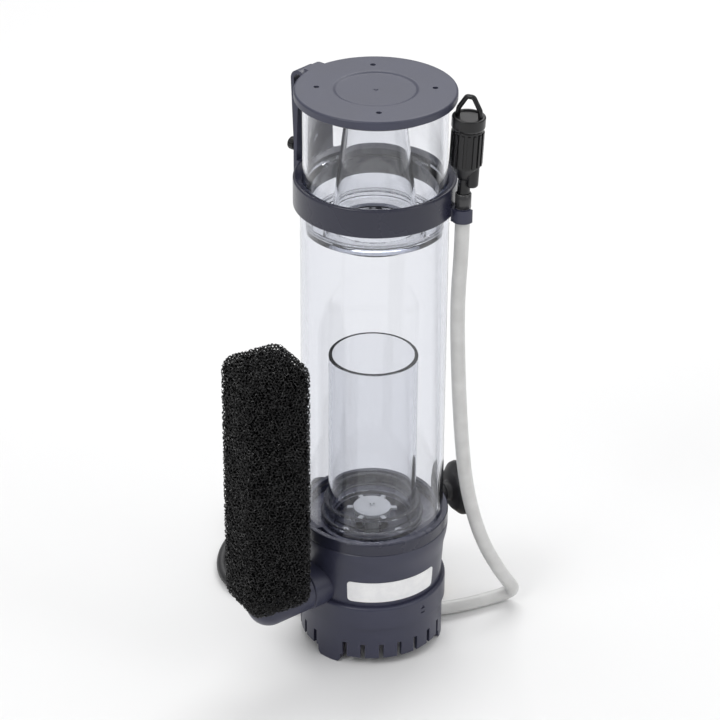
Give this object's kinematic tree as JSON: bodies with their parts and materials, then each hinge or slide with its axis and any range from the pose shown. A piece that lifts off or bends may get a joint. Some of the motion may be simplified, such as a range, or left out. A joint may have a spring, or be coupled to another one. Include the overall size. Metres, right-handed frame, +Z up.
{
  "type": "protein skimmer",
  "caption": "Small in-tank protein skimmer: slatted pump base, clear reaction tube, lidded foam cup, air silencer on a hose, and an outlet pipe wearing a foam bubble trap.",
  "frame": {"origin": "on the axis of the reaction tube, in the plane the feet stand on", "axes": "+Z up along the tube's axis; the front, with the label, faces -Y; the hose and silencer are on +X"},
  "size_m": [0.181, 0.2187, 0.3433],
  "materials": {
    "slate": "satin moulded slate blue",
    "lid": "fine matt slate",
    "clear": "clear acrylic",
    "smoked_clear": "clear acrylic",
    "black_rubber": "soft",
    "black_plastic": "satin",
    "foam": "open-cell reticulated foam",
    "silicone": "translucent silicone",
    "label": "semi-matt film",
    "steel": "stainless",
    "copper": "enamelled wire",
    "iron": "laminated",
    "ceramic": "ceramic",
    "magnet": "coated ferrite",
    "white_plastic": "moulded white",
    "felt": "felt",
    "brass": "plated"
  },
  "bodies": {
    "skimmer": {"base_strainer": "slate", "lower_housing": "slate", "tube_seat_ring": "slate", "tube_seal": "black_rubber", "reaction_tube": "clear", "top_collar": "slate", "hose_clip": "slate", "hanger_bracket": "slate", "bracket_screws": "steel", "motor_case": "slate", "motor_end_cap": "slate", "stator_core": "iron", "stator_coils": "copper", "lower_bush": "black_rubber", "rotor_shaft": "ceramic", "pump_chamber": "smoked_clear", "pump_screws": "steel", "inner_tube_foot": "clear", "inner_tube": "clear", "rating_label": "label", "outlet_seal": "black_rubber", "suction_cup": "black_rubber", "suction_cup_holder": "slate", "air_inlet": "black_plastic", "air_hose": "silicone", "cord_gland": "black_rubber", "power_cord": "black_rubber", "cord_coil": "black_rubber", "cord_tail": "black_rubber", "cord_tie": "black_plastic", "plug_body": "black_plastic", "plug_pins": "brass", "silencer_body": "black_plastic", "silencer_felt": "felt"},
    "impeller": {"rotor_magnet": "magnet", "pin_wheel": "white_plastic"},
    "cup": {"collection_cup": "clear", "foam_riser": "clear", "cup_seal": "black_rubber"},
    "lid": {"lid": "lid"},
    "regulator": {"silencer_cap": "black_plastic"},
    "outlet": {"outlet_elbow": "slate", "outlet_riser": "black_plastic"},
    "bubble_trap": {"sponge": "foam"},
    "clamp_screw": {"thumb_screw": "black_plastic"}
  },
  "joints": [
    {"name": "impeller_spin", "type": "hinge", "parent": "skimmer", "child": "impeller", "pos_m": [0, 0, 0.06], "axis": [0, 0, 1], "continuous": true},
    {"name": "cup_lift", "type": "slide", "parent": "skimmer", "child": "cup", "axis": [0, 0, 1], "range_m": [0, 0.04]},
    {"name": "lid_lift", "type": "slide", "parent": "cup", "child": "lid", "axis": [0, 0, 1], "range_m": [0, 0.03]},
    {"name": "outlet_swivel", "type": "hinge", "parent": "skimmer", "child": "outlet", "pos_m": [-0.04411, -0.0361, 0.047], "axis": [-0.7738, -0.6334, 0], "range_deg": [-90, 90]},
    {"name": "sponge_pull", "type": "slide", "parent": "outlet", "child": "bubble_trap", "axis": [0, 0, 1], "range_m": [0, 0.125]},
    {"name": "regulator_turn", "type": "hinge", "parent": "skimmer", "child": "regulator", "pos_m": [0.04798, -0.01652, 0.32696], "axis": [0.0412, -0.0142, 0.999], "range_deg": [0, 270]},
    {"name": "clamp_travel", "type": "slide", "parent": "skimmer", "child": "clamp_screw", "axis": [0.7547, -0.6561, 0], "range_m": [0, 0.003]}
  ]
}
